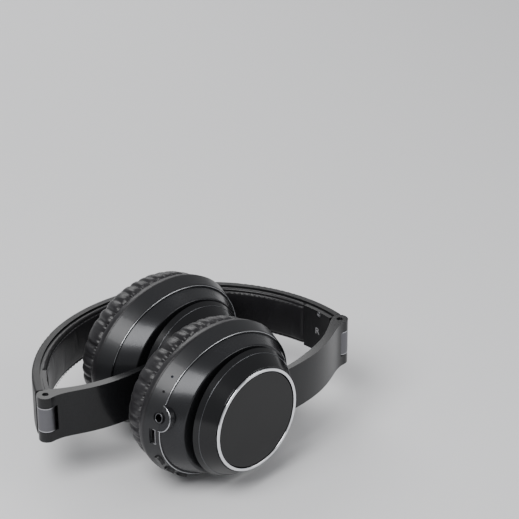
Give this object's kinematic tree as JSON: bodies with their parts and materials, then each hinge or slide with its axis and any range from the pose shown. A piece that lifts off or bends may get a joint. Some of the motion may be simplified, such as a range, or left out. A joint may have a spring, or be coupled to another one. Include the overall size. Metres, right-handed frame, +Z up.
{
  "type": "folding over ear headphones",
  "caption": "Folding over ear headphones with padded oval cups, round caps with a bright ring, curved arms, sliding band ends and rim controls, folded flat.",
  "frame": {"origin": "on the surface that both cup rims lie on, under the middle of the folded object", "axes": "+X from the left fold hinge to the right fold hinge, +Y towards the crown of the band, +Z up from the surface"},
  "size_m": [0.1644, 0.1288, 0.0756],
  "materials": {
    "satin_black_plastic": "satin moulded plastic",
    "gloss_black_plastic": "polished black plastic",
    "leatherette": "soft protein leatherette",
    "spring_steel": "rolled",
    "hinge_steel": "turned",
    "screw_steel": "blackened",
    "bright_chrome": "bright plated",
    "magnet_steel": "zinc plated",
    "clear_film": "thin film",
    "speaker_cloth": "fine woven",
    "battery_wrap": "foil pouch",
    "green_board": "solder mask",
    "socket_steel": "folded sheet",
    "clear_lens": "clear",
    "mesh_steel": "fine mesh"
  },
  "bodies": {
    "headband": {"band_shell": "satin_black_plastic", "band_spring": "spring_steel", "band_liner": "satin_black_plastic", "band_cushion": "leatherette", "end_cover_left": "satin_black_plastic", "end_cover_right": "satin_black_plastic", "band_screws": "screw_steel"},
    "slider_left": {"slider_strip_left": "spring_steel", "hinge_block_left": "hinge_steel", "hinge_pin_left": "hinge_steel", "hinge_washers_left": "spring_steel"},
    "arm_left": {"arm_shell_left": "gloss_black_plastic", "arm_liner_left": "satin_black_plastic", "arm_screws_left": "screw_steel", "trim_ring_left": "bright_chrome", "cap_disc_left": "gloss_black_plastic", "tilt_pin_left": "hinge_steel"},
    "cup_left": {"cup_rim_left": "satin_black_plastic", "cup_barrel_left": "gloss_black_plastic", "tilt_lug_left": "satin_black_plastic", "baffle_left": "satin_black_plastic", "cup_screws_left": "screw_steel", "driver_basket_left": "satin_black_plastic", "driver_magnet_left": "magnet_steel", "driver_diaphragm_left": "clear_film", "pad_plate_left": "satin_black_plastic", "speaker_cloth_left": "speaker_cloth", "ear_pad_left": "leatherette", "battery": "battery_wrap"},
    "slider_right": {"slider_strip_right": "spring_steel", "hinge_block_right": "hinge_steel", "hinge_pin_right": "hinge_steel", "hinge_washers_right": "spring_steel"},
    "arm_right": {"arm_shell_right": "gloss_black_plastic", "arm_liner_right": "satin_black_plastic", "arm_screws_right": "screw_steel", "trim_ring_right": "bright_chrome", "cap_disc_right": "gloss_black_plastic", "tilt_pin_right": "hinge_steel"},
    "cup_right": {"cup_rim_right": "satin_black_plastic", "cup_barrel_right": "gloss_black_plastic", "tilt_lug_right": "satin_black_plastic", "baffle_right": "satin_black_plastic", "cup_screws_right": "screw_steel", "driver_basket_right": "satin_black_plastic", "driver_magnet_right": "magnet_steel", "driver_diaphragm_right": "clear_film", "pad_plate_right": "satin_black_plastic", "speaker_cloth_right": "speaker_cloth", "ear_pad_right": "leatherette", "circuit_board": "green_board", "audio_socket": "satin_black_plastic", "charging_socket": "socket_steel", "light_lens": "clear_lens", "microphone_cap": "mesh_steel"},
    "power_button": {"power_button": "satin_black_plastic"},
    "volume_up_button": {"volume_up_button": "satin_black_plastic"},
    "volume_down_button": {"volume_down_button": "satin_black_plastic"}
  },
  "joints": [
    {"name": "slide_right", "type": "hinge", "parent": "headband", "child": "slider_right", "pos_m": [0, -0.0179, 0.0378], "axis": [0, 0, -1], "range_deg": [0, 18]},
    {"name": "fold_right", "type": "hinge", "parent": "slider_right", "child": "arm_right", "pos_m": [0.078, -0.0087, 0.0378], "axis": [0, 0, 1], "range_deg": [0, 71.7]},
    {"name": "tilt_right", "type": "hinge", "parent": "arm_right", "child": "cup_right", "pos_m": [0.00603, -0.04905, 0.0378], "axis": [0, 0, -1], "range_deg": [0, 3]},
    {"name": "slide_left", "type": "hinge", "parent": "headband", "child": "slider_left", "pos_m": [0, -0.0179, 0.0378], "axis": [0, 0, 1], "range_deg": [0, 18]},
    {"name": "fold_left", "type": "hinge", "parent": "slider_left", "child": "arm_left", "pos_m": [-0.078, -0.0087, 0.0378], "axis": [0, 0, -1], "range_deg": [0, 108.3]},
    {"name": "tilt_left", "type": "hinge", "parent": "arm_left", "child": "cup_left", "pos_m": [0.00383, 0.00183, 0.0378], "axis": [0, 0, -1], "range_deg": [0, 3]},
    {"name": "power_button_press", "type": "slide", "parent": "cup_right", "child": "power_button", "axis": [0.8285, 0.2741, 0.4883], "range_m": [0, 0.0005], "stiffness_N_per_m": 400},
    {"name": "volume_up_button_press", "type": "slide", "parent": "cup_right", "child": "volume_up_button", "axis": [0.669, 0.2213, 0.7095], "range_m": [0, 0.0005], "stiffness_N_per_m": 400},
    {"name": "volume_down_button_press", "type": "slide", "parent": "cup_right", "child": "volume_down_button", "axis": [0.4917, 0.1627, 0.8554], "range_m": [0, 0.0005], "stiffness_N_per_m": 400}
  ],
  "couplings": [
    {"joint": "fold_left", "follows": "fold_right", "ratio": 0.45},
    {"joint": "slide_right", "follows": "fold_right", "ratio": 0.25},
    {"joint": "slide_left", "follows": "fold_right", "ratio": 0.25}
  ]
}
